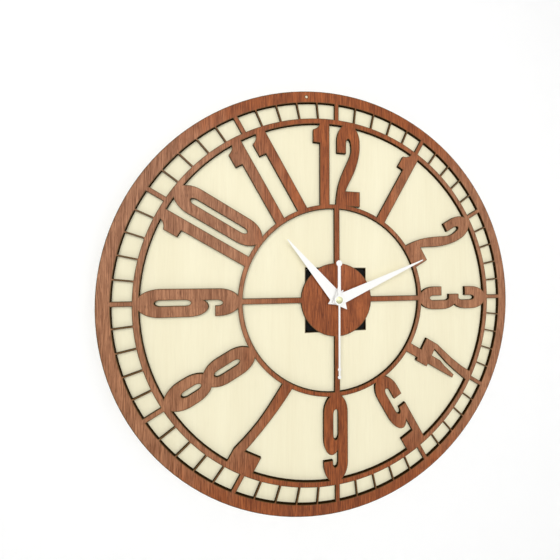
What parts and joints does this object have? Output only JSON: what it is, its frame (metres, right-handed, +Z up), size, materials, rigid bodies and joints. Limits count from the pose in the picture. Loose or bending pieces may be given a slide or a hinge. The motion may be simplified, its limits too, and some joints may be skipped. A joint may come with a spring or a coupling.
{
  "type": "wooden gear clock",
  "caption": "Round laser-cut wooden wall clock: fretwork dial with cut-out numerals on a cream backing, white hands and a quartz movement that hangs on a nail.",
  "frame": {"origin": "on the axis of the hands, in the plane of the wall behind the movement", "axes": "+Z up to the 12, +X to the right seen from the front, the dial faces -Y and +Y points into the wall"},
  "size_m": [0.3809, 0.027, 0.381],
  "materials": {
    "engraved_wood": "matte, even brown with fine grain",
    "cream_board": "matte cream board with charred edges",
    "pale_dowel": "matte end grain",
    "black_case": "satin black",
    "black_cover": "satin black",
    "white_plastic": "smooth",
    "brass_thread": "turned",
    "rubber": "matte",
    "brass_washer": "stamped",
    "brass_nut": "turned",
    "hanger_plastic": "satin black",
    "cell_jacket": "plain film jacket",
    "contact_steel": "nickel plated",
    "contact_steel_spring": "nickel plated",
    "board_green": "solder mask",
    "crystal_can": "drawn can",
    "chip_resin": "cast resin",
    "core_steel": "stamped",
    "bobbin_plastic": "moulded",
    "copper_wire": "enamelled copper",
    "stator_steel": "stamped",
    "rotor_plastic": "moulded",
    "magnet": "sintered",
    "wheel_plastic": "moulded",
    "seconds_plastic": "moulded",
    "third_plastic": "moulded",
    "clutch_plastic": "moulded",
    "spring_steel": "spring washer",
    "cannon_brass": "turned",
    "works_plastic": "moulded",
    "hour_plastic": "moulded",
    "knob_plastic": "moulded",
    "hour_hand_white": "satin white",
    "hour_collet_brass": "turned",
    "minute_hand_white": "satin white",
    "minute_collet_brass": "turned",
    "second_hand_white": "satin white",
    "cap_brass": "polished",
    "sleeve_brass": "turned"
  },
  "bodies": {
    "clock_body": {"front_fretwork": "engraved_wood", "backing_panel": "cream_board", "index_dowel": "pale_dowel", "movement_case": "black_case", "case_cover": "black_cover", "middle_plate": "white_plastic", "threaded_bush": "brass_thread", "rubber_gasket": "rubber", "brass_washer": "brass_washer", "hex_nut": "brass_nut", "wall_hanger": "hanger_plastic", "positive_contact": "contact_steel", "negative_contact": "contact_steel_spring", "circuit_board": "board_green", "quartz_crystal": "crystal_can", "chip_dome": "chip_resin", "coil_core": "core_steel", "coil_bobbin": "bobbin_plastic", "coil_winding": "copper_wire", "stator": "stator_steel"},
    "rotor": {"rotor_pinion": "rotor_plastic", "rotor_magnet": "magnet"},
    "intermediate": {"intermediate_wheel": "wheel_plastic"},
    "third": {"third_wheel": "third_plastic"},
    "second": {"seconds_wheel": "seconds_plastic", "second_hand": "second_hand_white", "second_hand_cap": "cap_brass", "second_hand_sleeve": "sleeve_brass"},
    "clutch": {"clutch_wheel": "clutch_plastic"},
    "minute": {"cannon_pinion": "cannon_brass", "clutch_spring": "spring_steel", "minute_hand": "minute_hand_white", "minute_hand_collet": "minute_collet_brass"},
    "minute_works": {"minute_works_wheel": "works_plastic"},
    "hour": {"hour_wheel": "hour_plastic", "hour_hand": "hour_hand_white", "hour_hand_collet": "hour_collet_brass"},
    "knob": {"setting_knob": "knob_plastic"},
    "battery": {"battery_cell": "cell_jacket"}
  },
  "joints": [
    {"name": "second_hand_turn", "type": "hinge", "parent": "clock_body", "child": "second", "pos_m": [0, -0.025, 0], "axis": [0, 1, 0], "continuous": true},
    {"name": "minute_hand_turn", "type": "hinge", "parent": "clock_body", "child": "minute", "pos_m": [0, -0.02, 0], "axis": [0, 1, 0], "continuous": true},
    {"name": "hour_hand_turn", "type": "hinge", "parent": "clock_body", "child": "hour", "pos_m": [0, -0.018, 0], "axis": [0, 1, 0], "continuous": true},
    {"name": "clutch_wheel_turn", "type": "hinge", "parent": "clock_body", "child": "clutch", "pos_m": [0, -0.01, 0], "axis": [0, 1, 0], "continuous": true},
    {"name": "rotor_turn", "type": "hinge", "parent": "clock_body", "child": "rotor", "pos_m": [-0.01274, -0.004, 0.01175], "axis": [0, 1, 0], "continuous": true},
    {"name": "intermediate_wheel_turn", "type": "hinge", "parent": "clock_body", "child": "intermediate", "pos_m": [-0.00516, -0.004, 0.00737], "axis": [0, 1, 0], "continuous": true},
    {"name": "third_wheel_turn", "type": "hinge", "parent": "clock_body", "child": "third", "pos_m": [0.00814, -0.007, 0.00683], "axis": [0, 1, 0], "continuous": true},
    {"name": "minute_works_turn", "type": "hinge", "parent": "clock_body", "child": "minute_works", "pos_m": [-0.00156, -0.0115, 0.00886], "axis": [0, 1, 0], "continuous": true},
    {"name": "setting_knob_turn", "type": "hinge", "parent": "clock_body", "child": "knob", "pos_m": [0, -0.001, 0.01773], "axis": [0, 1, 0], "continuous": true},
    {"name": "battery_slide", "type": "slide", "parent": "clock_body", "child": "battery", "axis": [0, 1, 0], "range_m": [0, 0.025]}
  ],
  "couplings": [
    {"joint": "intermediate_wheel_turn", "follows": "second_hand_turn", "ratio": -5},
    {"joint": "rotor_turn", "follows": "second_hand_turn", "ratio": 30},
    {"joint": "third_wheel_turn", "follows": "second_hand_turn", "ratio": -0.13333},
    {"joint": "clutch_wheel_turn", "follows": "second_hand_turn", "ratio": 0.016667},
    {"joint": "minute_works_turn", "follows": "minute_hand_turn", "ratio": -0.33333},
    {"joint": "hour_hand_turn", "follows": "minute_hand_turn", "ratio": 0.083333},
    {"joint": "setting_knob_turn", "follows": "minute_hand_turn", "ratio": 1}
  ]
}
